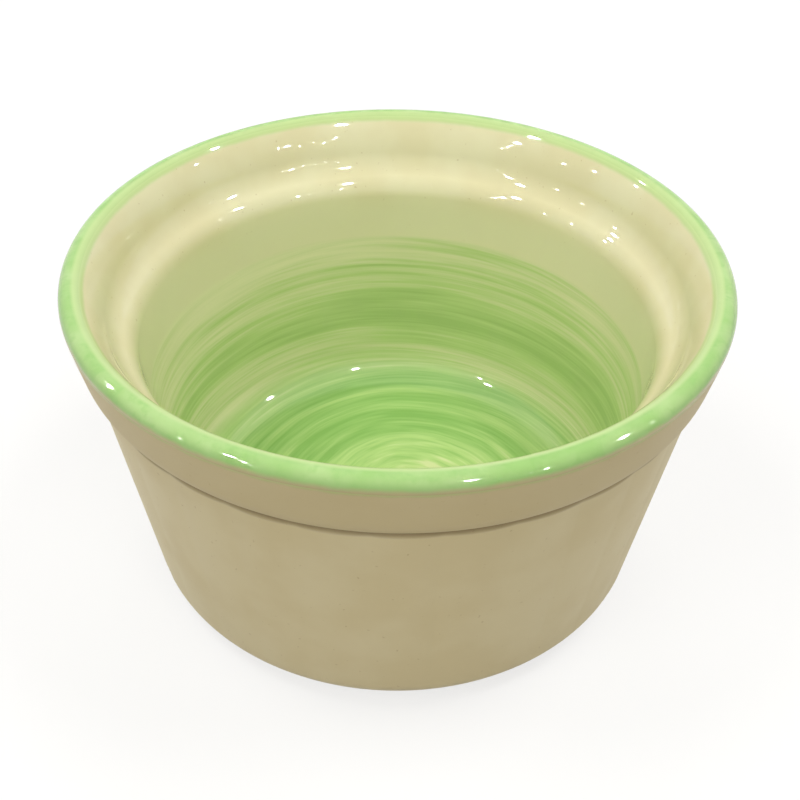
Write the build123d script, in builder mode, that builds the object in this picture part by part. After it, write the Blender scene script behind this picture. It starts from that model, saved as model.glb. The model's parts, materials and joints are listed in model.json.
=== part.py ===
"""A round fluted ramekin with a plain collar, made as one fired clay body and the glazes laid over it.

The origin is the centre of the plane that the foot rests on and +Z is up. Lengths are in millimetres,
angles in degrees.
"""

from build123d import *
from math import ceil, cos, degrees, radians, sin, tan
import os

# Overall
rim_diameter = 102.0
total_height = 56.5

# Lip and collar, seen from outside
lip_round = 1.85
lip_flat = 0.1
collar_lean = 12.3
collar_side_height = 8.7
collar_height = 12.0
crease_inset = 3.15
crease_bite = 0.35
crease_rise = 0.5

# Fluted wall
wall_lean = 9.15
flute_count = 30
flute_turn = 2.0
flute_round = 26.0
flute_stock = 0.05

# Base and foot ring
base_corner_round = 5.5
foot_height = 1.2
foot_inset = 6.3
foot_width = 3.0
foot_edge_bevel = 0.5
recess_depth = 2.0

# Inside of the bowl, from the lip down
lip_slope_lean = 37.7
lip_slope_depth = 3.15
lip_slope_round = 13.5
inner_collar_lean = 17.5
inner_collar_depth = 5.0
shoulder_top_round = 7.0
shoulder_lean = 48.1
shoulder_depth = 2.95
shoulder_foot_round = 4.9
well_lean = 7.45
well_corner_round = 7.0
floor_thickness = 4.0

# Glazes
glaze_thickness = 0.4
rim_glaze_outer_drop = 2.1
rim_glaze_inner_drop = 0.45
well_glaze_drop = 20.4
dry_margin = 0.6

# The clay that the glaze covers is left in flats, one for about this much of each round
flat_turn = 28.0

# Every cut runs this far past the solid it cuts
overrun = 2.0

# Heights and radii that follow from the sizes above
rim_radius = rim_diameter / 2
crease_radius = rim_radius - crease_inset
crease_z = total_height - collar_height
floor_z = recess_depth + floor_thickness
mid_floor_z = recess_depth + floor_thickness / 2
flute_pitch = 360 / flute_count

# The lip's sides meet the rim's plane at these radii before the lip is rounded
outer_reach = tan(radians((90 + collar_lean) / 2))
inner_reach = tan(radians((90 - lip_slope_lean) / 2))
outer_corner_radius = rim_radius + lip_round * (outer_reach - 1)
inner_corner_radius = outer_corner_radius - lip_flat - lip_round * (outer_reach + inner_reach)
lip_middle_radius = outer_corner_radius - lip_round * outer_reach - lip_flat / 2

# The wall is turned a little thick, and the flutes are then cut out of that stock, as far as the crease
collar_side_z = total_height - collar_side_height
collar_side_radius = outer_corner_radius - collar_side_height * tan(radians(collar_lean))
stock_radius = crease_radius + flute_stock
wall_run = tan(radians(wall_lean))
base_corner_radius = stock_radius - (crease_z - foot_height) * wall_run
foot_outer_radius = base_corner_radius - foot_inset
foot_inner_radius = foot_outer_radius - foot_width
brow_z = crease_z - crease_rise
brow_radius = stock_radius - crease_rise * wall_run
crease_bottom_radius = crease_radius - crease_bite

# The inner wall's corners, from the lip down
slope_foot_z = total_height - lip_slope_depth
slope_foot_radius = inner_corner_radius - lip_slope_depth * tan(radians(lip_slope_lean))
shoulder_top_z = slope_foot_z - inner_collar_depth
shoulder_top_radius = slope_foot_radius - inner_collar_depth * tan(radians(inner_collar_lean))
shoulder_foot_z = shoulder_top_z - shoulder_depth
shoulder_foot_radius = shoulder_top_radius - shoulder_depth * tan(radians(shoulder_lean))
well_foot_radius = shoulder_foot_radius - (shoulder_foot_z - floor_z) * tan(radians(well_lean))


def polar(radius, angle):
    """The point at a radius and an angle round the bowl."""
    return (radius * cos(radians(angle)), radius * sin(radians(angle)))


def flute_cutter(skin):
    """What is cut off the turned wall round one flute, at a depth of skin below the glaze's face."""
    half_pitch = flute_pitch / 2
    cut_height = crease_z + overrun
    crest_foot = crease_radius - (crease_z + overrun) * wall_run
    crest_direction = (sin(radians(wall_lean)), 0, cos(radians(wall_lean)))
    crest_line = Plane(origin=(crest_foot, 0, -overrun), x_dir=(0, 1, 0), z_dir=crest_direction)
    with BuildPart() as cutter:
        with BuildSketch(Plane.XY.offset(-overrun)):
            Polygon(
                polar(foot_outer_radius, -half_pitch),
                polar(rim_radius + overrun, -half_pitch),
                polar(rim_radius + overrun, half_pitch),
                polar(foot_outer_radius, half_pitch),
                align=None,
            )
        extrude(amount=cut_height)
        with BuildSketch(crest_line):
            with Locations((0, flute_round)):
                Circle(flute_round - skin)
        extrude(amount=cut_height + overrun, both=True, mode=Mode.SUBTRACT)
    return cutter.part


def cut_flutes(skin):
    """Cuts all the flutes into the open part."""
    with PolarLocations(0, flute_count, start_angle=flute_turn + flute_pitch / 2):
        add(flute_cutter(skin), mode=Mode.SUBTRACT)


def keep_between(inner_radius, low, high):
    """Keeps what a section holds outside a radius and between two heights."""
    with Locations((inner_radius, low)):
        Rectangle(rim_radius + overrun, high - low, align=Align.MIN, mode=Mode.INTERSECT)


# Half of the bowl's section as the glaze leaves it, without the foot ring and with the wall left thick
with BuildSketch(Plane.XZ) as glazed_section:
    with BuildLine():
        Polyline((0, floor_z), (0, recess_depth), (foot_inner_radius, recess_depth))
        Line((foot_inner_radius, recess_depth), (foot_inner_radius, foot_height))
        FilletPolyline(
            (foot_inner_radius, foot_height),
            (base_corner_radius, foot_height),
            (brow_radius, brow_z),
            radius=base_corner_round,
        )
        Line((brow_radius, brow_z), (crease_bottom_radius, crease_z))
        inside = FilletPolyline(
            (collar_side_radius, collar_side_z),
            (outer_corner_radius, total_height),
            (inner_corner_radius, total_height),
            (slope_foot_radius, slope_foot_z),
            (shoulder_top_radius, shoulder_top_z),
            (shoulder_foot_radius, shoulder_foot_z),
            (well_foot_radius, floor_z),
            (0, floor_z),
            radius=[
                lip_round,
                lip_round,
                lip_slope_round,
                shoulder_top_round,
                shoulder_foot_round,
                well_corner_round,
            ],
        )
        TangentArc((collar_side_radius, collar_side_z), (crease_bottom_radius, crease_z), tangent=-(inside % 0))
    make_face()

# The clay's own section lies one glaze thickness inside that, with each round cut in flats
with BuildSketch(Plane.XZ) as rounded_clay:
    add(glazed_section.sketch_local)
    mirror(about=Plane.YZ)
    offset(amount=-glaze_thickness)
    split(bisect_by=Plane.YZ)

with BuildSketch(Plane.XZ) as clay_section:
    with BuildLine():
        for edge in rounded_clay.sketch_local.edges():
            flats = 1
            if edge.geom_type == GeomType.CIRCLE:
                flats = ceil(degrees(edge.length / edge.radius) / flat_turn)
            Polyline([edge @ (step / flats) for step in range(flats + 1)])
    make_face()

# The side of the section that faces into the bowl, as far as the middle of the floor and of the wall
with BuildSketch(Plane.XZ) as bowl_side:
    with BuildLine():
        Polyline(
            (0, mid_floor_z),
            ((well_foot_radius + base_corner_radius) / 2, mid_floor_z),
            ((shoulder_foot_radius + crease_radius) / 2, crease_z),
            (lip_middle_radius, total_height),
            (0, total_height),
            close=True,
        )
    make_face()

with BuildSketch(Plane.XZ) as coat_section:
    add(glazed_section.sketch_local)
    add(clay_section.sketch_local, mode=Mode.SUBTRACT)

# The fired clay: one body with its wall, collar, lip, floor and the bare foot ring that it stands on
with BuildPart() as clay_body:
    revolve(profiles=clay_section.sketch, axis=Axis.Z)
    cut_flutes(glaze_thickness)
    with BuildSketch(Plane.XZ) as foot_section:
        with Locations((foot_inner_radius, 0)):
            Rectangle(foot_width, mid_floor_z, align=Align.MIN)
        chamfer(foot_section.vertices().group_by(Axis.Y)[0], length=foot_edge_bevel)
    revolve(profiles=foot_section.sketch, axis=Axis.Z)
clay_body.part.label = "clay_body"

# The cream glaze on the outside, over the collar and the flutes and round the base to just short of the foot
with BuildPart() as outer_glaze:
    with BuildSketch(Plane.XZ) as outer_side:
        add(glazed_section.sketch_local)
        add(bowl_side.sketch_local, mode=Mode.SUBTRACT)
        keep_between(foot_outer_radius + dry_margin, 0, total_height - rim_glaze_outer_drop)
    revolve(profiles=outer_side.sketch, axis=Axis.Z)
    cut_flutes(0)
    add(clay_body.part, mode=Mode.SUBTRACT)
outer_glaze.part.label = "outer_glaze"

# The cream glaze inside, over the collar's inner wall, the shoulder and the top of the well
with BuildPart() as inner_glaze:
    with BuildSketch(Plane.XZ) as inner_coat:
        add(coat_section.sketch_local)
        add(bowl_side.sketch_local, mode=Mode.INTERSECT)
        keep_between(0, total_height - well_glaze_drop, total_height - rim_glaze_inner_drop)
    revolve(profiles=inner_coat.sketch, axis=Axis.Z)
inner_glaze.part.label = "inner_glaze"

# The green glaze over the lip, between the two cream glazes
with BuildPart() as rim_glaze:
    with BuildSketch(Plane.XZ) as lip_coat:
        add(coat_section.sketch_local)
        keep_between(0, total_height - rim_glaze_outer_drop, total_height)
        add(inner_coat.sketch_local, mode=Mode.SUBTRACT)
    revolve(profiles=lip_coat.sketch, axis=Axis.Z)
rim_glaze.part.label = "rim_glaze"

# The brushed green glaze over the lower wall and the floor
with BuildPart() as well_glaze:
    with BuildSketch(Plane.XZ) as well_coat:
        add(coat_section.sketch_local)
        add(bowl_side.sketch_local, mode=Mode.INTERSECT)
        keep_between(0, 0, total_height - well_glaze_drop)
    revolve(profiles=well_coat.sketch, axis=Axis.Z)
well_glaze.part.label = "well_glaze"

# The glaze under the base, inside the foot ring
with BuildPart() as recess_glaze:
    with BuildSketch(Plane.XZ) as recess_coat:
        with Locations((0, recess_depth)):
            Rectangle(foot_inner_radius - dry_margin, glaze_thickness, align=Align.MIN)
    revolve(profiles=recess_coat.sketch, axis=Axis.Z)
recess_glaze.part.label = "recess_glaze"

os.makedirs("parts", exist_ok=True)
export_step(clay_body.part, "parts/clay_body.step")
export_step(outer_glaze.part, "parts/outer_glaze.step")
export_step(rim_glaze.part, "parts/rim_glaze.step")
export_step(inner_glaze.part, "parts/inner_glaze.step")
export_step(well_glaze.part, "parts/well_glaze.step")
export_step(recess_glaze.part, "parts/recess_glaze.step")
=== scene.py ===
"""Looks for a round fluted ramekin: clay, cream glaze, a green lip and a brushed green well.

The scene is in metres, with +Z up and the origin in the middle of the plane that the foot rests on. The bowl's
sizes are in millimetres and its angles in degrees. BowlProfile has the CAD model's sizes, apart from a taller
and rounded edge under the crease and three rounds inside that are a little fuller.
"""

import json
import logging
import math
from dataclasses import dataclass, field
from enum import Enum

import bpy
import numpy as np
from mathutils import Matrix, Vector

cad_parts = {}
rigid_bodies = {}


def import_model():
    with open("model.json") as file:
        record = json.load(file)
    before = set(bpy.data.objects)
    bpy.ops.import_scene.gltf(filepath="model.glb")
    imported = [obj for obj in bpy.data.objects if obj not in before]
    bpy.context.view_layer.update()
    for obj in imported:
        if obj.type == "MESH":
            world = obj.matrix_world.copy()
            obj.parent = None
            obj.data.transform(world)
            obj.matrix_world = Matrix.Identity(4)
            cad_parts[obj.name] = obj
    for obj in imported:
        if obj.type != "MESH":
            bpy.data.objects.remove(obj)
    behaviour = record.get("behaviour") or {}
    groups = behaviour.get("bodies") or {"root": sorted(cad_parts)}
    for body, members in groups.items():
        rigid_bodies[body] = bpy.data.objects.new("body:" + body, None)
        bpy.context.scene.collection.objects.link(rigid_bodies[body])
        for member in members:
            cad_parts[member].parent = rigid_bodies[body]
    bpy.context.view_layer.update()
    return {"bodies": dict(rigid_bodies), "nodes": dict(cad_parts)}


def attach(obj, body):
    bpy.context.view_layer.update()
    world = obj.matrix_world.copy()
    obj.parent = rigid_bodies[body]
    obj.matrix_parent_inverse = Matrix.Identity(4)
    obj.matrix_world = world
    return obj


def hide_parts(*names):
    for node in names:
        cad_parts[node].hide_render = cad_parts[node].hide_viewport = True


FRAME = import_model()

LOG = logging.getLogger("ramekin")
MM = 0.001
IMAGE_SIZE = 800
AIM = Vector((0, 0, 0.03))
SLACK_MM = 1e-3
SAME_POINT_MM = 1e-4
NOISE_MEAN = 0.5

# A Mix node's sockets for colours and for plain values, and what makes it mix colours
SHARE, UNDER, OVER = 0, 6, 7
PLAIN_UNDER, PLAIN_OVER = 2, 3
COLOURS = {"output": 2, "data_type": "RGBA"}
SMOOTH = {"interpolation_type": "SMOOTHSTEP"}

Tree = bpy.types.NodeTree
Socket = bpy.types.NodeSocket


def linear(hex_code: str) -> tuple[float, float, float, float]:
    """Turns an sRGB hex colour linear.

    Args:
        hex_code: Six hex digits.

    Returns:
        Red, green, blue and alpha, with alpha 1.
    """
    channels = [int(hex_code[i : i + 2], 16) / 255 for i in (0, 2, 4)]
    values = [c / 12.92 if c <= 0.04045 else ((c + 0.055) / 1.055) ** 2.4 for c in channels]
    return (values[0], values[1], values[2], 1.0)


def add_node(
    tree: Tree, kind: str, inputs: dict | None = None, output: int | str = 0, **settings: object
) -> Socket | None:
    """Adds a node with its settings, its socket values and its links.

    Args:
        tree: The node tree that gets the node.
        kind: The node's type name without the word in front of it, such as "Mix".
        inputs: Socket name or number to a value, or to the output socket that feeds it.
        output: Which output to hand back.
        settings: Properties of the node itself.

    Returns:
        The chosen output socket, or nothing for a node that ends the tree.
    """
    node = tree.nodes.new("ShaderNode" + kind)
    for name, value in settings.items():
        setattr(node, name, value)
    for key, value in (inputs or {}).items():
        if isinstance(value, Socket):
            tree.links.new(value, node.inputs[key])
        else:
            node.inputs[key].default_value = value
    return node.outputs[output] if node.outputs else None


def pattern(place: Socket, size_mm: float, detail: float) -> dict:
    """Gives a noise the scale of a real size.

    Args:
        place: Where the noise is read.
        size_mm: The size of its larger grains.
        detail: How many finer layers it has.

    Returns:
        The noise's inputs.
    """
    return {"Vector": place, "Scale": 1 / (size_mm * MM), "Detail": detail}


def band(value: Socket, start_mm: float, end_mm: float, share: float = 1.0) -> dict:
    """Lets a share grow across a band.

    Args:
        value: A height or a reach, in metres.
        start_mm: Where the share is still 0. It may lie above the end.
        end_mm: Where the share is full.
        share: The full share.

    Returns:
        A range node's inputs.
    """
    return {"Value": value, "From Min": start_mm * MM, "From Max": end_mm * MM, "To Max": share}


def fill_ramp(ramp: bpy.types.ColorRamp, stops: list[tuple[float, tuple[float, ...]]]) -> None:
    """Sets a colour ramp's stops.

    Args:
        ramp: The ramp, which starts with two stops.
        stops: Position and linear colour of each stop, in order.
    """
    middle = 0.5
    while len(ramp.elements) < len(stops):
        ramp.elements.new(middle)
    for element, (position, colour) in zip(ramp.elements, stops):
        element.position = position
        element.color = colour


def new_material(name: str) -> tuple[bpy.types.Material, Tree, Socket]:
    """Makes an empty node material.

    Args:
        name: The material's name.

    Returns:
        The material, its node tree and its Object coordinates.
    """
    material = bpy.data.materials.new(name)
    material.use_nodes = True
    material.node_tree.nodes.clear()
    return material, material.node_tree, add_node(material.node_tree, "TexCoord", output="Object")


def set_material(piece: bpy.types.Object, material: bpy.types.Material) -> None:
    """Gives a piece one material in all its slots."""
    piece.data.materials.clear()
    piece.data.materials.append(material)


@dataclass(frozen=True)
class GlazeSurface:
    """The surface of a fired glaze: glassy, and uneven by a hair from how it flowed and cooled."""

    # The slow flow bends the spots of light a little, and the fine peel breaks their edges
    roughness: float = 0.04
    ior: float = 1.52
    flow_mm: float = 9.0
    flow_height_mm: float = 0.002
    peel_mm: float = 1.6
    peel_height_mm: float = 0.0002
    detail: float = 1.0

    def finish(self, tree: Tree, place: Socket, colour: Socket) -> None:
        """Adds the shader, its bump and the output.

        Args:
            tree: The material's tree.
            place: Object coordinates.
            colour: The glaze's colour.
        """
        flow = add_node(tree, "TexNoise", pattern(place, self.flow_mm, self.detail))
        peel = add_node(tree, "TexNoise", pattern(place, self.peel_mm, self.detail))
        fine = add_node(tree, "Math", {0: peel, 1: self.peel_height_mm * MM}, operation="MULTIPLY")
        flowed = {0: flow, 1: self.flow_height_mm * MM, 2: fine}
        height = add_node(tree, "Math", flowed, operation="MULTIPLY_ADD")
        bump = add_node(tree, "Bump", {"Height": height, "Distance": 1.0, "Strength": 1.0})
        gloss = {"Base Color": colour, "Roughness": self.roughness, "IOR": self.ior, "Normal": bump}
        shader = add_node(tree, "BsdfPrincipled", gloss)
        add_node(tree, "OutputMaterial", {"Surface": shader})


@dataclass(frozen=True)
class RaggedFade:
    """How one glaze fades out over another, across a band of height that a grain makes uneven."""

    start_mm: float
    end_mm: float
    share: float = 1.0
    ragged_mm: float = 0.8
    grain_mm: float = 3.0
    detail: float = 3.0

    def at(self, tree: Tree, place: Socket, height: Socket) -> Socket:
        """Reads how far the fade has gone.

        Args:
            tree: The material's tree.
            place: Object coordinates.
            height: The height, in metres.

        Returns:
            The share's socket, from 0 to the full share.
        """
        grain = add_node(tree, "TexNoise", pattern(place, self.grain_mm, self.detail))
        lifted = {0: grain, 1: self.ragged_mm * MM, 2: height}
        ragged = add_node(tree, "Math", lifted, operation="MULTIPLY_ADD")
        return add_node(tree, "MapRange", band(ragged, self.start_mm, self.end_mm, self.share), **SMOOTH)


@dataclass(frozen=True)
class CreamGlaze:
    """Cream glaze over buff clay: cloudy, with a few faint iron specks that grew in the firing."""

    # Where it lies thin the clay's warmth comes through, so that no plain area looks flat. The specks tell
    # stoneware from plastic close by
    thick: str = "DDD9B2"
    thin: str = "D4CC9F"
    speck: str = "A78F5E"
    cloud_mm: float = 14.0
    cloud_detail: float = 3.0
    cloud_range: tuple[float, float] = (0.36, 0.66)
    cloud_share: float = 0.6
    speck_mm: float = 0.55
    speck_detail: float = 0.0
    speck_range: tuple[float, float] = (0.80, 0.88)
    speck_share: float = 0.35
    surface: GlazeSurface = field(default_factory=GlazeSurface)

    def colour(self, tree: Tree, place: Socket) -> Socket:
        """Builds the cream, which the other glazes of the bowl run into.

        Args:
            tree: The material's tree.
            place: Object coordinates.

        Returns:
            The colour's socket.
        """
        cloud = add_node(tree, "TexNoise", pattern(place, self.cloud_mm, self.cloud_detail))
        low, high = self.cloud_range
        thinned = {"Value": cloud, "From Min": low, "From Max": high, "To Max": self.cloud_share}
        thinned = add_node(tree, "MapRange", thinned, **SMOOTH)
        layers = {SHARE: thinned, UNDER: linear(self.thick), OVER: linear(self.thin)}
        cream = add_node(tree, "Mix", layers, **COLOURS)
        grain = add_node(tree, "TexNoise", pattern(place, self.speck_mm, self.speck_detail))
        low, high = self.speck_range
        specked = {"Value": grain, "From Min": low, "From Max": high, "To Max": self.speck_share}
        specked = add_node(tree, "MapRange", specked)
        return add_node(tree, "Mix", {SHARE: specked, UNDER: cream, OVER: linear(self.speck)}, **COLOURS)

    def build(self, name: str) -> bpy.types.Material:
        """Returns the finished material."""
        material, tree, place = new_material(name)
        self.surface.finish(tree, place, self.colour(tree, place))
        return material


@dataclass(frozen=True)
class OutsideCream(CreamGlaze):
    """The cream outside: satin, painted shade on the collar and in the crease, green run into its top."""

    # The collar is a tone darker than the wall, painted shade where it leans out from the overhead light.
    # The brown line is painted shade that gives the crease its depth, and the run of green keeps the lip's
    # edge from looking cut
    # Painted shade: a little darker and warmer than the cream inside, for the outer wall, which gets less
    # light
    thick: str = "DCD1AB"
    thin: str = "D3C59A"
    surface: GlazeSurface = field(default_factory=lambda: GlazeSurface(roughness=0.5, ior=1.3))
    # Painted shade: the collar leans out from the overhead light, so its cream is made a tone darker
    collar: str = "C5B68B"
    collar_shade_share: float = 0.6
    collar_foot_mm: float = 44.6
    collar_shade_fade_mm: float = 0.8
    # Painted shade: a brown line that darkens the crease under the collar
    crease: str = "7E6B4A"
    crease_mm: float = 44.35
    crease_shade_half_mm: float = 0.95
    crease_shade_share: float = 0.75
    green: str = "A9C877"
    bleed: RaggedFade = RaggedFade(54.1, 54.9, 0.55)

    def colour(self, tree: Tree, place: Socket) -> Socket:
        """Adds the collar's painted shade, the crease's painted shade and the run of green to the cream."""
        cream = super().colour(tree, place)
        height = add_node(tree, "SeparateXYZ", {0: place}, "Z")
        # Painted shade on the collar, from its foot up
        foot = self.collar_foot_mm
        collar_shaded = add_node(tree, "MapRange", band(height, foot, foot + self.collar_shade_fade_mm, self.collar_shade_share))
        cream = add_node(tree, "Mix", {SHARE: collar_shaded, UNDER: cream, OVER: linear(self.collar)}, **COLOURS)
        # Painted shade in the crease: strongest at its height, fading out over its half width
        away = add_node(tree, "Math", {0: height, 1: self.crease_mm * MM}, operation="SUBTRACT")
        away = add_node(tree, "Math", {0: away}, operation="ABSOLUTE")
        crease_shaded = band(away, self.crease_shade_half_mm, 0.0, self.crease_shade_share)
        crease_shaded = add_node(tree, "MapRange", crease_shaded, **SMOOTH)
        cream = add_node(tree, "Mix", {SHARE: crease_shaded, UNDER: cream, OVER: linear(self.crease)}, **COLOURS)
        bled = self.bleed.at(tree, place, height)
        return add_node(tree, "Mix", {SHARE: bled, UNDER: cream, OVER: linear(self.green)}, **COLOURS)


@dataclass(frozen=True)
class TintedCream(CreamGlaze):
    """The cream glaze inside: glossy, with green from the lip run over its top edge."""

    # It takes a breath of green towards the well, partly a thin wash and partly painted green light thrown up
    # from the well, so that the brushed wash seems to grow out of it
    # Partly painted light: green light that the washed well throws up onto the wall, and partly a thin wash
    wash_and_bounce_tint: str = "DAD9B1"
    wash_and_bounce_top_mm: float = 46.0
    wash_and_bounce_foot_mm: float = 40.0
    wash_and_bounce_share: float = 0.8
    green: str = "BDD390"
    run: RaggedFade = RaggedFade(55.2, 55.9, ragged_mm=0.3)

    def colour(self, tree: Tree, place: Socket) -> Socket:
        """Adds a breath of green, partly painted light from the well, and the run of green, by height."""
        cream = super().colour(tree, place)
        height = add_node(tree, "SeparateXYZ", {0: place}, "Z")
        # Partly a thin wash and partly painted green light thrown up from the well
        wash_and_bounce_mask = band(height, self.wash_and_bounce_top_mm, self.wash_and_bounce_foot_mm, self.wash_and_bounce_share)
        wash_and_bounce_mask = add_node(tree, "MapRange", wash_and_bounce_mask, **SMOOTH)
        cream = add_node(tree, "Mix", {SHARE: wash_and_bounce_mask, UNDER: cream, OVER: linear(self.wash_and_bounce_tint)}, **COLOURS)
        run = self.run.at(tree, place, height)
        return add_node(tree, "Mix", {SHARE: run, UNDER: cream, OVER: linear(self.green)}, **COLOURS)


@dataclass(frozen=True)
class RimGreen:
    """A green glaze banded on the lip: mottled, thin at its inner edge, pooled and ragged at the outer."""

    # The mottle and the small puddles show that it was laid on by brush, the thin inner edge lets the clay's
    # warmth through where the lip turns in, and the pool makes the lip look round and wet
    green: str = "94BF6D"
    thin: str = "AFCC8A"
    pool: str = "87B862"
    edge: str = "BAD08E"
    cream: str = "BFAF82"
    mottle_mm: float = 6.0
    mottle_detail: float = 3.0
    mottle_range: tuple[float, float] = (0.35, 0.68)
    mottle_share: float = 0.75
    puddle_mm: float = 1.8
    puddle_detail: float = 2.0
    puddle_range: tuple[float, float] = (0.52, 0.72)
    puddle_share: float = 0.45
    inner_mm: float = 48.5
    inner_fade_mm: float = 0.7
    inner_share: float = 0.8
    outer_mm: float = 49.5
    outer_full_mm: float = 50.2
    pool_top_mm: float = 56.1
    pool_foot_mm: float = 55.4
    pool_share: float = 0.35
    end: RaggedFade = RaggedFade(55.8, 55.0, 0.85)
    surface: GlazeSurface = field(default_factory=GlazeSurface)

    def build(self, name: str) -> bpy.types.Material:
        """Returns the finished material."""
        material, tree, place = new_material(name)
        height = add_node(tree, "SeparateXYZ", {0: place}, "Z")
        level = add_node(tree, "VectorMath", {0: place, 1: (1.0, 1.0, 0.0)}, operation="MULTIPLY")
        reach = add_node(tree, "VectorMath", {0: level}, "Value", operation="LENGTH")
        outside = add_node(tree, "MapRange", band(reach, self.outer_mm, self.outer_full_mm))
        green = self.brushed(tree, place)
        worn = band(reach, self.inner_mm + self.inner_fade_mm, self.inner_mm, self.inner_share)
        worn = add_node(tree, "MapRange", worn, **SMOOTH)
        green = add_node(tree, "Mix", {SHARE: worn, UNDER: green, OVER: linear(self.edge)}, **COLOURS)
        sagged = band(height, self.pool_top_mm, self.pool_foot_mm, self.pool_share)
        sagged = add_node(tree, "MapRange", sagged, **SMOOTH)
        sagged = add_node(tree, "Math", {0: sagged, 1: outside}, operation="MULTIPLY")
        green = add_node(tree, "Mix", {SHARE: sagged, UNDER: green, OVER: linear(self.pool)}, **COLOURS)
        ended = self.end.at(tree, place, height)
        ended = add_node(tree, "Math", {0: ended, 1: outside}, operation="MULTIPLY")
        green = add_node(tree, "Mix", {SHARE: ended, UNDER: green, OVER: linear(self.cream)}, **COLOURS)
        self.surface.finish(tree, place, green)
        return material

    def brushed(self, tree: Tree, place: Socket) -> Socket:
        """Lays the mottled green with its small puddles.

        Args:
            tree: The material's tree.
            place: Object coordinates.

        Returns:
            The colour's socket.
        """
        mottle = add_node(tree, "TexNoise", pattern(place, self.mottle_mm, self.mottle_detail))
        low, high = self.mottle_range
        thinned = {"Value": mottle, "From Min": low, "From Max": high, "To Max": self.mottle_share}
        thinned = add_node(tree, "MapRange", thinned)
        layers = {SHARE: thinned, UNDER: linear(self.green), OVER: linear(self.thin)}
        green = add_node(tree, "Mix", layers, **COLOURS)
        puddle = add_node(tree, "TexNoise", pattern(place, self.puddle_mm, self.puddle_detail))
        low, high = self.puddle_range
        pooled = {"Value": puddle, "From Min": low, "From Max": high, "To Max": self.puddle_share}
        pooled = add_node(tree, "MapRange", pooled)
        return add_node(tree, "Mix", {SHARE: pooled, UNDER: green, OVER: linear(self.pool)}, **COLOURS)


@dataclass(frozen=True)
class Strokes:
    """Brush strokes side by side: where each lies, in mm, and how thin it left the green, from 0 to 1."""

    low_mm: float
    high_mm: float
    places: tuple[tuple[float, float], ...]

    def thinness(self, tree: Tree, at: Socket) -> Socket:
        """Reads how thin the green is at a place.

        Args:
            tree: The material's tree.
            at: The height or the reach, in metres.

        Returns:
            The thinness's socket.
        """
        share = add_node(tree, "MapRange", band(at, self.low_mm, self.high_mm))
        shade = add_node(tree, "ValToRGB", {0: share})
        span = self.high_mm - self.low_mm
        stops = [((place - self.low_mm) / span, (thin, thin, thin, 1.0)) for place, thin in self.places]
        fill_ramp(shade.node.color_ramp, stops)
        return shade


# The strokes on the wall, by height, from the corner of the floor up to where the brush first touched
WALL_STROKES = Strokes(
    9.0,
    37.0,
    (
        (9.0, 0.56), (10.2, 0.60), (11.5, 0.52), (13.0, 0.42), (15.2, 0.42), (16.4, 0.36),
        (17.6, 0.14), (18.8, 0.04), (20.6, 0.12), (22.2, 0.16), (24.0, 0.24), (25.0, 0.44),
        (26.4, 0.50), (28.0, 0.40), (29.0, 0.38), (29.8, 0.32), (30.8, 0.48), (31.6, 0.64),
        (32.5, 0.76), (33.5, 0.66), (34.6, 0.60), (36.4, 0.85),
    ),
)

# The rings on the floor, by their reach from its middle out to the wall
FLOOR_STROKES = Strokes(
    0.0,
    36.0,
    (
        (1.0, 0.50), (4.0, 0.70), (8.6, 0.78), (9.6, 0.74), (10.8, 0.48), (12.0, 0.62),
        (13.2, 0.60), (15.6, 0.62), (17.0, 0.48), (18.6, 0.18), (19.4, 0.02), (20.6, 0.36),
        (21.8, 0.20), (23.2, 0.10), (24.4, 0.0), (25.6, 0.42), (27.0, 0.48), (28.0, 0.24),
        (29.2, 0.16), (30.4, 0.44), (31.2, 0.34), (31.9, 0.0), (32.6, 0.30), (33.8, 0.30),
        (34.4, 0.50), (35.2, 0.66),
    ),
)


@dataclass(frozen=True)
class Streak:
    """One layer of the bristles' streaks: how wide they are, how often they break and how strong they are."""

    width_mm: float
    turns: float
    weight: float


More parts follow.
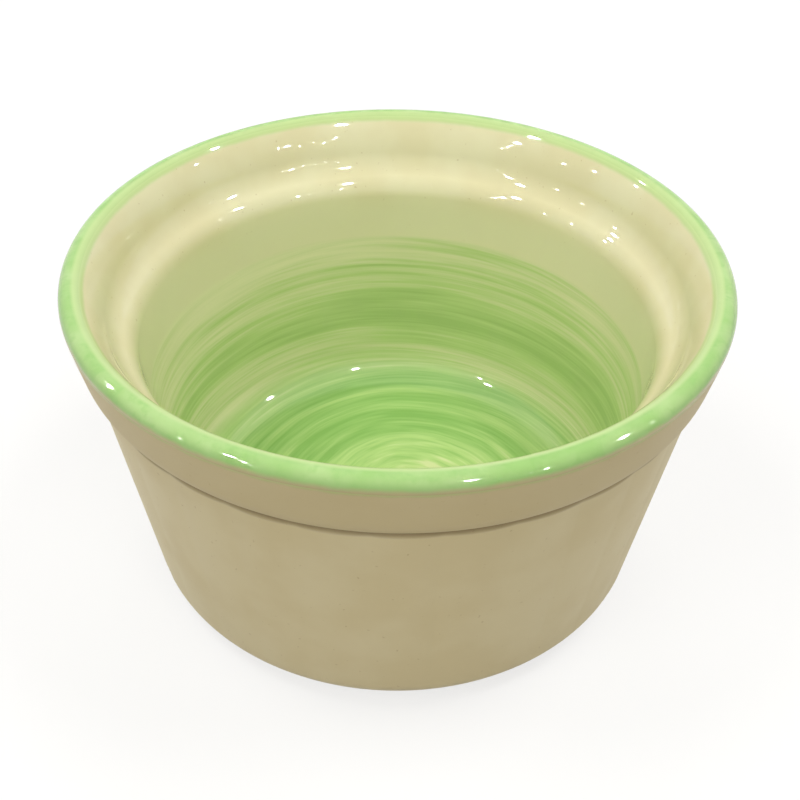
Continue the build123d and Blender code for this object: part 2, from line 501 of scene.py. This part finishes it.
@dataclass(frozen=True)
class BrushedGreen:
    """A thin green wash brushed on over the cream while the bowl turned, in level strokes and floor rings."""

    # The strokes lead the eye round the well and the bristles' streaks in them show the hand. The cream comes
    # through where the wash is thin. At the left of the wall and the right of the floor it is made thinner
    # still: painted light, where more light falls on those sides. The floor's rings lie off the middle
    cream: TintedCream = field(default_factory=TintedCream)
    wall: tuple[str, ...] = ("A1BD75", "B5CC86", "D0D6A4", "DBDCB1")
    floor: tuple[str, ...] = ("83AE5D", "95BC6D", "ADCB80", "C8D39B")
    stops: tuple[float, ...] = (0.0, 0.36, 0.72, 1.0)
    streaks: tuple[Streak, ...] = (Streak(3.2, 1.0, 0.6), Streak(1.1, 1.6, 0.8), Streak(0.45, 2.6, 0.6))
    streak_detail: float = 1.5
    # Painted light: how much thinner, so paler, the wash is made on its lit sides
    side_painted_light: float = 0.3
    wander_mm: float = 1.4
    wander_turns: float = 1.1
    wander_detail: float = 1.0
    start_mm: float = 36.1
    full_mm: float = 34.8
    ring_shift_mm: float = 3.0
    corner_top_mm: float = 11.0
    corner_foot_mm: float = 7.5

    def build(self, name: str) -> bpy.types.Material:
        """Returns the finished material."""
        material, tree, place = new_material(name)
        axes = add_node(tree, "SeparateXYZ", {0: place}).node.outputs
        on_floor = band(axes["Z"], self.corner_top_mm, self.corner_foot_mm)
        on_floor = add_node(tree, "MapRange", on_floor, **SMOOTH)
        thin = self.thinness(tree, axes, on_floor)
        shades = [self.shade(tree, thin, colours) for colours in (self.wall, self.floor)]
        green = add_node(tree, "Mix", {SHARE: on_floor, UNDER: shades[0], OVER: shades[1]}, **COLOURS)
        washed = add_node(tree, "MapRange", band(axes["Z"], self.start_mm, self.full_mm), **SMOOTH)
        cream = self.cream.colour(tree, place)
        colour = add_node(tree, "Mix", {SHARE: washed, UNDER: cream, OVER: green}, **COLOURS)
        self.cream.surface.finish(tree, place, colour)
        return material

    def thinness(self, tree: Tree, axes: bpy.types.NodeOutputs, on_floor: Socket) -> Socket:
        """Works out how thin the wash is, from its strokes, painted light on its lit sides and its bristle
        streaks.

        Args:
            tree: The material's tree.
            axes: The outputs that give X, Y and Z.
            on_floor: 0 on the wall and 1 on the floor.

        Returns:
            The thinness's socket.
        """
        shift = {0: on_floor, 1: -self.ring_shift_mm * MM, 2: axes["X"]}
        shift = add_node(tree, "Math", shift, operation="MULTIPLY_ADD")
        level = add_node(tree, "CombineXYZ", {"X": shift, "Y": axes["Y"]})
        reach = add_node(tree, "VectorMath", {0: level}, "Value", operation="LENGTH")
        heading = add_node(tree, "VectorMath", {0: level}, operation="NORMALIZE")
        turned = {"Vector": heading, "Scale": self.wander_turns, "Detail": self.wander_detail}
        wander = add_node(tree, "TexNoise", turned)
        wander = add_node(tree, "Math", {0: wander, 1: NOISE_MEAN}, operation="SUBTRACT")
        wander = add_node(tree, "Math", {0: wander, 1: self.wander_mm * MM}, operation="MULTIPLY")
        height = add_node(tree, "Math", {0: axes["Z"], 1: wander})
        ring = add_node(tree, "Math", {0: reach, 1: wander})
        wall, floor = WALL_STROKES.thinness(tree, height), FLOOR_STROKES.thinness(tree, ring)
        thin = add_node(tree, "Mix", {SHARE: on_floor, PLAIN_UNDER: wall, PLAIN_OVER: floor})
        # Painted light: the wash is made paler on the lit sides of the wall and the floor
        thin = add_node(tree, "Math", {0: thin, 1: self.painted_side_light(tree, heading, on_floor)})
        along = add_node(tree, "Math", {0: height, 1: ring})
        for streak in self.streaks:
            turned = add_node(tree, "VectorMath", {0: heading, "Scale": streak.turns}, operation="SCALE")
            layer = add_node(tree, "Math", {0: along, 1: streak.width_mm * MM}, operation="DIVIDE")
            lifted = add_node(tree, "CombineXYZ", {"Z": layer})
            read = add_node(tree, "VectorMath", {0: turned, 1: lifted})
            bristle = {"Vector": read, "Scale": 1.0, "Detail": self.streak_detail}
            bristle = add_node(tree, "TexNoise", bristle)
            bristle = add_node(tree, "Math", {0: bristle, 1: NOISE_MEAN}, operation="SUBTRACT")
            thin = add_node(tree, "Math", {0: bristle, 1: streak.weight, 2: thin}, operation="MULTIPLY_ADD")
        return thin

    def painted_side_light(self, tree: Tree, heading: Socket, on_floor: Socket) -> Socket:
        """Works out the painted light the side adds as thinness: left on the wall and right on the floor.

        Args:
            tree: The material's tree.
            heading: The level direction from the bowl's middle.
            on_floor: 0 on the wall and 1 on the floor.

        Returns:
            The added thinness's socket.
        """
        rightward = add_node(tree, "SeparateXYZ", {0: heading}, "X")

        # -1 on the wall and 1 on the floor
        lit_side = add_node(tree, "Math", {0: on_floor, 1: 2.0, 2: -1.0}, operation="MULTIPLY_ADD")
        lit_side = add_node(tree, "Math", {0: lit_side, 1: rightward}, operation="MULTIPLY")
        return add_node(tree, "MapRange", {"Value": lit_side, "To Max": self.side_painted_light})

    def shade(self, tree: Tree, thin: Socket, colours: tuple[str, ...]) -> Socket:
        """Turns the thinness into the wash's colour.

        Args:
            tree: The material's tree.
            thin: The thinness.
            colours: The colours at the stops, from a full brush to a nearly dry one.

        Returns:
            The colour's socket.
        """
        shade = add_node(tree, "ValToRGB", {0: thin})
        fill_ramp(shade.node.color_ramp, list(zip(self.stops, map(linear, colours))))
        return shade


@dataclass(frozen=True)
class BareClay:
    """Buff stoneware left without glaze on the foot ring: matt, sandy and wiped with a sponge."""

    # The sponge's darker patches and the grit make the foot look dry and rough beside the glaze
    body: str = "BFA67C"
    dark: str = "9F8560"
    wiped_mm: float = 6.0
    wiped_detail: float = 4.0
    wiped_range: tuple[float, float] = (0.3, 0.7)
    sand_mm: float = 0.45
    sand_detail: float = 2.0
    sand_range: tuple[float, float] = (0.35, 0.7)
    sand_height_mm: float = 0.05
    roughness: float = 0.85

    def build(self, name: str) -> bpy.types.Material:
        """Returns the finished material."""
        material, tree, place = new_material(name)
        cloud = add_node(tree, "TexNoise", pattern(place, self.wiped_mm, self.wiped_detail))
        sand = add_node(tree, "TexNoise", pattern(place, self.sand_mm, self.sand_detail))
        low, high = self.wiped_range
        wiped = add_node(tree, "MapRange", {"Value": cloud, "From Min": low, "From Max": high})
        low, high = self.sand_range
        grit = add_node(tree, "MapRange", {"Value": sand, "From Min": low, "From Max": high})
        share = add_node(tree, "Math", {0: wiped, 1: grit}, operation="MULTIPLY")
        layers = {SHARE: share, UNDER: linear(self.body), OVER: linear(self.dark)}
        colour = add_node(tree, "Mix", layers, **COLOURS)
        height = add_node(tree, "Math", {0: sand, 1: self.sand_height_mm * MM}, operation="MULTIPLY")
        bump = add_node(tree, "Bump", {"Height": height, "Distance": 1.0})
        dry = {"Base Color": colour, "Roughness": self.roughness, "Normal": bump}
        add_node(tree, "OutputMaterial", {"Surface": add_node(tree, "BsdfPrincipled", dry)})
        return material


class Run(Enum):
    """The stretches of the glazed surface, each a piece, from the foot up and over into the bowl."""

    OUTSIDE = "outer_glaze"
    LIP = "rim_glaze"
    COLLAR = "inner_glaze"
    WELL = "well_glaze"


@dataclass
class BowlProfile:
    """The glazed surface's profile, as radius and height. Its steps say how many chords each round gets."""

    rim_radius: float = 51.0
    height: float = 56.5
    lip_round: float = 1.85
    lip_flat: float = 0.1
    collar_lean: float = 12.3
    collar_side_height: float = 8.7
    collar_height: float = 12.0
    crest_radius: float = 47.85
    crease_bite: float = 0.35
    crease_rise: float = 0.7
    wall_lean: float = 9.15
    base_round: float = 5.5
    foot_height: float = 1.2
    glaze_start: float = 35.2
    lip_slope_lean: float = 37.7
    lip_slope_depth: float = 3.15
    lip_slope_round: float = 16.5
    inner_lean: float = 17.5
    inner_depth: float = 5.0
    shoulder_lean: float = 48.1
    shoulder_depth: float = 2.95
    shoulder_top_round: float = 8.0
    shoulder_foot_round: float = 5.7
    well_lean: float = 7.45
    well_round: float = 7.0
    floor_height: float = 6.0
    outer_drop: float = 2.1
    inner_drop: float = 0.45
    well_drop: float = 20.4
    straight_step: float = 2.5
    centre_hole: float = 0.4
    base_steps: int = 14
    brow_steps: int = 5
    collar_foot_steps: int = 10
    lip_steps: tuple[int, int] = (18, 12)
    slope_steps: int = 10
    shoulder_steps: tuple[int, int] = (12, 14)
    well_steps: int = 20

    @staticmethod
    def arc(centre: Vector, start: Vector, end: Vector, steps: int) -> list[Vector]:
        """Divides an arc.

        Args:
            centre: The arc's centre.
            start: From the centre to the arc's first point.
            end: From the centre to the arc's last point.
            steps: How many chords the arc gets.

        Returns:
            The arc's points, with both ends.
        """
        turn = math.atan2(start.x * end.y - start.y * end.x, start.dot(end))
        return [centre + Matrix.Rotation(turn * i / steps, 2) @ start for i in range(steps + 1)]

    def rounded(self, corners: list[Vector], radius: float, steps: int) -> list[Vector]:
        """Rounds a corner of the profile.

        Args:
            corners: The corner before this one, the corner itself and the one after it.
            radius: The round's radius.
            steps: How many chords the round gets.

        Returns:
            The round's points, from one tangent point to the other.
        """
        before, corner, after = corners
        back = (before - corner).normalized()
        on = (after - corner).normalized()
        half = back.angle(on) / 2
        centre = corner + (back + on).normalized() * (radius / math.sin(half))
        start = corner + back * (radius / math.tan(half)) - centre
        end = corner + on * (radius / math.tan(half)) - centre
        return self.arc(centre, start, end, steps)

    @staticmethod
    def inward(lean: float, depth: float) -> Vector:
        """Returns how far a stretch that leans by so many degrees goes in and down over its depth."""
        return Vector((math.tan(math.radians(lean)), 1)) * depth

    def whole(self) -> list[Vector]:
        """Returns every point of the profile, from beside the foot to the middle of the floor."""
        top = self.height
        outer_reach = math.tan(math.radians((90 + self.collar_lean) / 2))
        inner_reach = math.tan(math.radians((90 - self.lip_slope_lean) / 2))
        outer_corner = Vector((self.rim_radius + self.lip_round * (outer_reach - 1), top))
        lip_width = self.lip_flat + self.lip_round * (outer_reach + inner_reach)
        inner_corner = Vector((outer_corner.x - lip_width, top))
        crease_z = top - self.collar_height
        crest = Vector((self.crest_radius, crease_z))
        crease = crest - Vector((self.crease_bite, 0))
        brow = crest - self.inward(self.wall_lean, self.crease_rise)
        base = crest - self.inward(self.wall_lean, crease_z - self.foot_height)
        foot = Vector((self.glaze_start, self.foot_height))
        side = outer_corner - self.inward(self.collar_lean, self.collar_side_height)
        slope = inner_corner - self.inward(self.lip_slope_lean, self.lip_slope_depth)
        shoulder = slope - self.inward(self.inner_lean, self.inner_depth)
        ledge = shoulder - self.inward(self.shoulder_lean, self.shoulder_depth)
        well = ledge - self.inward(self.well_lean, ledge.y - self.floor_height)
        middle = Vector((self.centre_hole, self.floor_height))
        points = [foot]
        points += self.rounded([foot, base, brow], self.base_round, self.base_steps)
        points += self.rounded([base, brow, crease], self.crease_rise / 2, self.brow_steps)
        points += self.collar_foot(crease, side)
        corners = [side, outer_corner, inner_corner, slope, shoulder, ledge, well, middle]
        rounds = [self.lip_round, self.lip_round, self.lip_slope_round]
        rounds += [self.shoulder_top_round, self.shoulder_foot_round, self.well_round]
        steps = [*self.lip_steps, self.slope_steps, *self.shoulder_steps, self.well_steps]
        for i, (radius, count) in enumerate(zip(rounds, steps)):
            points += self.rounded(corners[i : i + 3], radius, count)
        points += [middle, Vector((0, self.floor_height))]
        return self.stepped(points)

    def collar_foot(self, crease: Vector, side: Vector) -> list[Vector]:
        """Curves the collar's foot in from its side to the crease.

        Args:
            crease: The crease's point.
            side: The foot of the collar's straight side.

        Returns:
            The curve's points, from the crease up to the side.
        """
        lean = math.radians(self.collar_lean)
        inward = Vector((-math.cos(lean), math.sin(lean)))
        reach = crease - side
        centre = side + inward * (reach.length_squared / (2 * reach.dot(inward)))
        return self.arc(centre, crease - centre, side - centre, self.collar_foot_steps)

    def stepped(self, points: list[Vector]) -> list[Vector]:
        """Divides the long straight stretches, so that the flutes have points to move.

        Args:
            points: The profile's points.

        Returns:
            The points with more between them, and without doubles.
        """
        out = [points[0]]
        for point in points[1:]:
            start = out[-1]
            if (point - start).length < SAME_POINT_MM:
                continue
            count = max(1, math.ceil((point - start).length / self.straight_step))
            out += [start.lerp(point, i / count) for i in range(1, count + 1)]
        return out

    def runs(self) -> dict[Run, list[Vector]]:
        """Cuts the profile where one glaze meets the next.

        Returns:
            Each run's points. Neighbours share the point that they meet at.
        """
        cuts = [
            (self.height - self.outer_drop, 1),
            (self.height - self.inner_drop, -1),
            (self.height - self.well_drop, -1),
        ]
        pieces, current = [], []
        for point in self.whole():
            if cuts and current:
                level, direction = cuts[0]
                last = current[-1]
                if (last.y - level) * direction < 0 <= (point.y - level) * direction:
                    meeting = last.lerp(point, (level - last.y) / (point.y - last.y))
                    if (meeting - last).length > SAME_POINT_MM:
                        current.append(meeting)
                    pieces.append(current)
                    current = [meeting]
                    cuts.pop(0)
            if not current or (point - current[-1]).length > SAME_POINT_MM:
                current.append(point)
        pieces.append(current)
        return dict(zip(Run, pieces))


@dataclass
class GlazeSkin:
    """One glaze as a turned skin over the clay."""

    run: Run
    points: list[Vector]
    slot: str
    steps: int = 360
    thickness: float = 0.4
    smooth_angle: float = 40.0

    def build(self) -> bpy.types.Object:
        """Turns the profile round the bowl's axis and gives the skin its thickness.

        Returns:
            The piece, in metres, with its place in its mesh.
        """
        bpy.ops.object.select_all(action="DESELECT")
        first = self.points[0] * MM
        bpy.ops.mesh.primitive_plane_add(size=MM, location=(first.x, 0, first.y))
        piece = bpy.context.object
        piece.name = self.run.value + "_skin"
        bpy.ops.object.transform_apply(location=True, rotation=True, scale=True)
        bpy.ops.object.mode_set(mode="EDIT")
        bpy.ops.mesh.select_all(action="SELECT")
        bpy.ops.mesh.merge(type="CENTER")
        for last, point in zip(self.points, self.points[1:]):
            step = (point - last) * MM
            bpy.ops.mesh.extrude_vertices_move(TRANSFORM_OT_translate={"value": (step.x, 0, step.y)})
        bpy.ops.mesh.select_all(action="SELECT")
        bpy.ops.mesh.spin(steps=self.steps, angle=2 * math.pi, center=(0, 0, 0), axis=(0, 0, 1))
        bpy.ops.mesh.select_all(action="SELECT")
        bpy.ops.mesh.remove_doubles(threshold=SLACK_MM * MM)
        bpy.ops.mesh.normals_make_consistent(inside=False)
        bpy.ops.object.mode_set(mode="OBJECT")
        self.face_outwards(piece)
        self.shape(piece)
        self.thicken(piece)
        return piece

    def face_outwards(self, piece: bpy.types.Object) -> None:
        """Turns the skin's faces away from the clay if they look into it.

        Args:
            piece: The skin, whose face beside the profile's first point tells for all.
        """
        start, after = self.points[0], self.points[1]
        outward = Vector((after.y - start.y, 0, start.x - after.x))
        beside = Vector((start.x, 0, start.y)) * MM
        nearest = min(piece.data.polygons, key=lambda face: (face.center - beside).length)
        if nearest.normal.dot(outward) < 0:
            piece.data.flip_normals()

    def shape(self, piece: bpy.types.Object) -> None:
        """Leaves a plain turned skin as it is."""

    def thicken(self, piece: bpy.types.Object) -> None:
        """Gives the skin its thickness towards the clay and smooths it.

        Args:
            piece: The skin.
        """
        bpy.context.view_layer.objects.active = piece
        solidify = piece.modifiers.new("thickness", "SOLIDIFY")
        solidify.thickness = self.thickness * MM
        solidify.offset = -1
        bpy.ops.object.modifier_apply(modifier=solidify.name)
        bpy.ops.object.shade_smooth_by_angle(angle=math.radians(self.smooth_angle))

    def dress(self, piece: bpy.types.Object, material: bpy.types.Material) -> None:
        """Glazes the piece and sets it in the frame in place of its CAD node.

        Args:
            piece: The skin.
            material: Its glaze.
        """
        set_material(piece, material)
        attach(piece, "root")
        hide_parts(self.run.value)
        LOG.info("%s: %d faces", piece.name, len(piece.data.polygons))


@dataclass
class FlutedSkin(GlazeSkin):
    """The outer glaze, with the flutes pressed into the wall under the collar.

    Its steps put a row of points in the bottom of every groove.
    """

    steps: int = 720
    count: int = 30
    turn: float = 2.0
    flute_round: float = 26.0
    soft_share: float = 0.05
    profile: BowlProfile = field(default_factory=BowlProfile)

    def shape(self, piece: bpy.types.Object) -> None:
        """Moves the wall in where the grooves between the flutes are.

        Args:
            piece: The turned skin.
        """
        mesh = piece.data
        at = np.zeros(len(mesh.vertices) * 3)
        mesh.vertices.foreach_get("co", at)
        at = at.reshape(-1, 3) / MM
        radius = np.hypot(at[:, 0], at[:, 1])
        angle = np.degrees(np.arctan2(at[:, 1], at[:, 0]))
        pitch = 360 / self.count

        # 0 on a flute's crest and 1 in the groove beside it
        across = np.abs(((angle - self.turn) % pitch) / pitch * 2 - 1)
        shape = self.profile
        crease_z = shape.height - shape.collar_height
        crest = shape.crest_radius - (crease_z - at[:, 2]) * math.tan(math.radians(shape.wall_lean))
        axis = crest - self.flute_round
        half_pitch = math.radians(pitch / 2)
        side = axis * math.sin(half_pitch)
        groove = axis * math.cos(half_pitch) + np.sqrt(self.flute_round**2 - side**2)

        # The flute falls off as a parabola, and the last share of it is turned so that the groove is soft
        edge = 1 - self.soft_share
        over = np.clip(across - edge, 0, None)
        softened = edge**2 + 2 * edge * over - edge / self.soft_share * over**2
        dip = np.where(across < edge, across**2, softened)
        pressed = crest - (crest - groove) * dip
        below = at[:, 2] <= crease_z + SLACK_MM
        target = np.where(below, np.minimum(radius, pressed), radius)
        at[:, 0] *= target / radius
        at[:, 1] *= target / radius
        mesh.vertices.foreach_set("co", (at * MM).ravel())
        mesh.update()


@dataclass
class Bowl:
    """The whole bowl: its glazes, its clay and the glazed recess under it."""

    profile: BowlProfile = field(default_factory=BowlProfile)
    slots: dict[Run, str] = field(
        default_factory=lambda: {
            Run.OUTSIDE: "cream_outside",
            Run.LIP: "green_rim",
            Run.COLLAR: "cream_inside",
            Run.WELL: "green_well",
        }
    )

    def build(self) -> dict[Run, tuple[GlazeSkin, bpy.types.Object]]:
        """Builds the glazes.

        Returns:
            Each run's skin and piece.
        """
        made = {}
        for run, points in self.profile.runs().items():
            if run is Run.OUTSIDE:
                skin = FlutedSkin(run, points, self.slots[run], profile=self.profile)
            else:
                skin = GlazeSkin(run, points, self.slots[run])
            made[run] = (skin, skin.build())
        return made

    def dress(self, made: dict[Run, tuple[GlazeSkin, bpy.types.Object]]) -> None:
        """Glazes the pieces and leaves the foot bare.

        Args:
            made: What build returned.
        """
        outside = OutsideCream()
        materials = {
            Run.OUTSIDE: outside.build("cream_glaze_outside"),
            Run.LIP: RimGreen().build("green_lip_glaze"),
            Run.COLLAR: TintedCream().build("cream_glaze_inside"),
            Run.WELL: BrushedGreen().build("brushed_green_glaze"),
        }
        for run, (skin, piece) in made.items():
            skin.dress(piece, materials[run])
        set_material(FRAME["nodes"]["clay_body"], BareClay().build("bare_clay"))
        set_material(FRAME["nodes"]["recess_glaze"], outside.build("cream_glaze_underside"))
        LOG.info("clay_body and recess_glaze: CAD nodes, dressed")


@dataclass(frozen=True)
class Lamp:
    """A small far lamp that the glaze mirrors as a spot: its direction and its size, in degrees."""

    azimuth: float
    elevation: float
    width: float = 0.5
    depth: float = 0.5
    radiance: float = 600.0


@dataclass(frozen=True)
class SoftLight:
    """A wide soft lamp that lights the bowl and isn't mirrored in it, with its direction in degrees."""

    azimuth: float
    elevation: float
    power: float
    size: float = 0.4
    distance: float = 1.0


@dataclass
class Studio:
    """The floor, the soft light, the lamps that the glaze mirrors, and the camera.

    Lengths are in metres, the camera's distance from the rim's middle in rim radii and its turns in radians.
    """

    floor_size: float = 6.0
    paper: str = "F4F4F2"
    paper_glow: float = 0.72
    grey: str = "A8A49B"
    world_colour: str = "FFF9EF"
    world_strength: float = 0.44
    white: str = "FFFFFF"

    # The soft light that the photograph's lamps throw, and then the lamps as the glaze mirrors them
    soft_lights: tuple[SoftLight, ...] = (
        SoftLight(-64, 43, 1.65),
        SoftLight(-136, 43, 1.8),
        SoftLight(5, 64, 3.65),
        SoftLight(180, 62, 3.25),
        SoftLight(90, 50, 1.2),
    )
    lamp_distance: float = 6.0
    lamps: tuple[Lamp, ...] = (
        Lamp(-64, 43, 3.6, 1.7),
        Lamp(-63.5, 27.5),
        Lamp(-62.5, 25.5),
        Lamp(-59, 22.5),
        Lamp(-54, 24),
        Lamp(-49, 21.5),
        Lamp(-43.6, 23.6, 1.6, 0.9),
        Lamp(-40, 23),
        Lamp(-139, 33, 2.4, 1.4),
        Lamp(-136, 29),
        Lamp(-134, 26),
        Lamp(-131.5, 23.5),
        Lamp(-148.5, 42, 3.6, 1.7),
        Lamp(-158, 22, 1.2, 0.8),
        Lamp(-172, 24, 1.4, 0.9),
        Lamp(168, 25, 1.4, 0.9),
        Lamp(160, 35, 2.2, 2.2),
        Lamp(-9, 37, 3.6, 2.2),
        Lamp(-3, 27, 0.8, 0.8),
    )
    focal_share: float = 1246.6 / IMAGE_SIZE
    sensor_mm: float = 36.0
    near: float = 0.01
    far: float = 20.0
    camera_distance: float = 3.75
    camera_elevation: float = 0.5654
    aim_side: float = -0.003
    aim_up: float = -0.1156
    roll: float = -0.0198
    rim_radius: float = 0.051
    rim_height: float = 0.0565

    def build(self) -> None:
        """Builds the floor, the lights and the camera."""
        self.floor()
        self.world()
        for number, light in enumerate(self.soft_lights):
            self.soft(number, light)
        for number, lamp in enumerate(self.lamps):
            self.lamp(number, lamp)
        self.camera()
        LOG.info("studio: %d soft lights and %d lamps", len(self.soft_lights), len(self.lamps))

    def floor(self) -> None:
        """Lays a pale floor that keeps the bowl's shadow and throws back a grey light."""
        bpy.ops.object.select_all(action="DESELECT")
        bpy.ops.mesh.primitive_plane_add(size=self.floor_size)
        floor = bpy.context.object
        floor.name = "floor"
        material, tree, _ = new_material("pale_floor")
        paper = add_node(tree, "BsdfDiffuse", {"Color": linear(self.paper)})
        glow = add_node(tree, "Emission", {"Color": linear(self.white), "Strength": 1.0})
        shown = add_node(tree, "MixShader", {0: self.paper_glow, 1: paper, 2: glow})
        grey = add_node(tree, "BsdfDiffuse", {"Color": linear(self.grey)})
        mixed = add_node(tree, "MixShader", {0: self.seen_rays(tree), 1: grey, 2: shown})
        add_node(tree, "OutputMaterial", {"Surface": mixed})
        set_material(floor, material)

    def world(self) -> None:
        """Fills the room with even light, white to the camera."""
        world = bpy.data.worlds.new("room")
        bpy.context.scene.world = world
        world.use_nodes = True
        tree = world.node_tree
        tree.nodes.clear()
        even = {"Color": linear(self.world_colour), "Strength": self.world_strength}
        soft = add_node(tree, "Background", even)
        white = add_node(tree, "Background", {"Color": linear(self.white), "Strength": 1.0})
        mixed = add_node(tree, "MixShader", {0: self.seen_rays(tree), 1: soft, 2: white})
        add_node(tree, "OutputWorld", {"Surface": mixed})

    @staticmethod
    def seen_rays(tree: Tree) -> Socket:
        """Picks out the rays that see the background.

        Args:
            tree: The floor's or the world's tree.

        Returns:
            A socket that is 1 for rays from the camera, a mirror or glass.
        """
        path = add_node(tree, "LightPath").node.outputs
        rays = {0: path["Is Camera Ray"], 1: path["Is Glossy Ray"]}
        seen = add_node(tree, "Math", rays, operation="MAXIMUM")
        return add_node(tree, "Math", {0: seen, 1: path["Is Transmission Ray"]}, operation="MAXIMUM")

    @staticmethod
    def area(name: str, spot: Vector, width: float, depth: float, power: float) -> bpy.types.Object:
        """Hangs a flat lamp that faces the bowl.

        Args:
            name: The lamp's name.
            spot: Where it hangs.
            width: Its level size.
            depth: Its other size.
            power: Its power in watts.

        Returns:
            The lamp.
        """
        data = bpy.data.lights.new(name, "AREA")
        data.shape = "ELLIPSE"
        data.size, data.size_y = width, depth
        data.energy = power
        lamp = bpy.data.objects.new(name, data)
        bpy.context.scene.collection.objects.link(lamp)
        lamp.location = spot
        lamp.rotation_euler = (AIM - spot).to_track_quat("-Z", "Y").to_euler()
        return lamp

    @staticmethod
    def place(azimuth: float, elevation: float, distance: float) -> Vector:
        """Finds where a lamp hangs.

        Args:
            azimuth: Degrees round from +X.
            elevation: Degrees up from level.
            distance: How far it is from the bowl.

        Returns:
            The place.
        """
        a, e = math.radians(azimuth), math.radians(elevation)
        return AIM + Vector((math.cos(a) * math.cos(e), math.sin(a) * math.cos(e), math.sin(e))) * distance

    def soft(self, number: int, light: SoftLight) -> None:
        """Hangs one wide soft lamp.

        Args:
            number: Its number, for its name.
            light: Its direction, size and power.
        """
        spot = self.place(light.azimuth, light.elevation, light.distance)
        self.area(f"soft_{number}", spot, light.size, light.size, light.power).visible_glossy = False

    def lamp(self, number: int, lamp: Lamp) -> None:
        """Hangs one small lamp.

        Args:
            number: Its number, for its name.
            lamp: Its direction, size and brightness.
        """
        width = 2 * self.lamp_distance * math.tan(math.radians(lamp.width / 2))
        depth = 2 * self.lamp_distance * math.tan(math.radians(lamp.depth / 2))
        power = lamp.radiance * math.pi * (math.pi * width * depth / 4)
        spot = self.place(lamp.azimuth, lamp.elevation, self.lamp_distance)
        self.area(f"spot_{number}", spot, width, depth, power).visible_diffuse = False

    def camera(self) -> None:
        """Sets the camera where the photograph was taken from."""
        away = Vector((0, -math.cos(self.camera_elevation), math.sin(self.camera_elevation)))
        forward = -away
        right = Vector((1, 0, 0))
        up = right.cross(forward)
        forward = Matrix.Rotation(self.aim_side, 3, up) @ forward
        forward = Matrix.Rotation(self.aim_up, 3, right) @ forward
        right = forward.cross(Vector((0, 0, 1))).normalized()
        up = right.cross(forward)
        turn = Matrix.Rotation(self.roll, 3, forward)
        axes = Matrix((turn @ right, turn @ up, -forward)).transposed()
        place = away * self.camera_distance * self.rim_radius + Vector((0, 0, self.rim_height))
        data = bpy.data.cameras.new("camera")
        data.sensor_width = self.sensor_mm
        data.lens = self.focal_share * self.sensor_mm
        data.clip_start, data.clip_end = self.near, self.far
        camera = bpy.data.objects.new("camera", data)
        bpy.context.scene.collection.objects.link(camera)
        camera.matrix_world = Matrix.Translation(place) @ axes.to_4x4()
        bpy.context.scene.camera = camera


def clear_start() -> None:
    """Removes what a new Blender file holds besides the frame."""
    kept = set(FRAME["nodes"].values()) | set(FRAME["bodies"].values())
    for thing in list(bpy.data.objects):
        if thing not in kept:
            bpy.data.objects.remove(thing)


def main() -> None:
    """Builds the bowl and the studio."""
    logging.basicConfig(level=logging.INFO, format="%(name)s: %(message)s")
    clear_start()
    bowl = Bowl()
    bowl.dress(bowl.build())
    studio = Studio()
    studio.build()
    bpy.context.scene.view_settings.view_transform = "Standard"


if __name__ == "__main__":
    main()
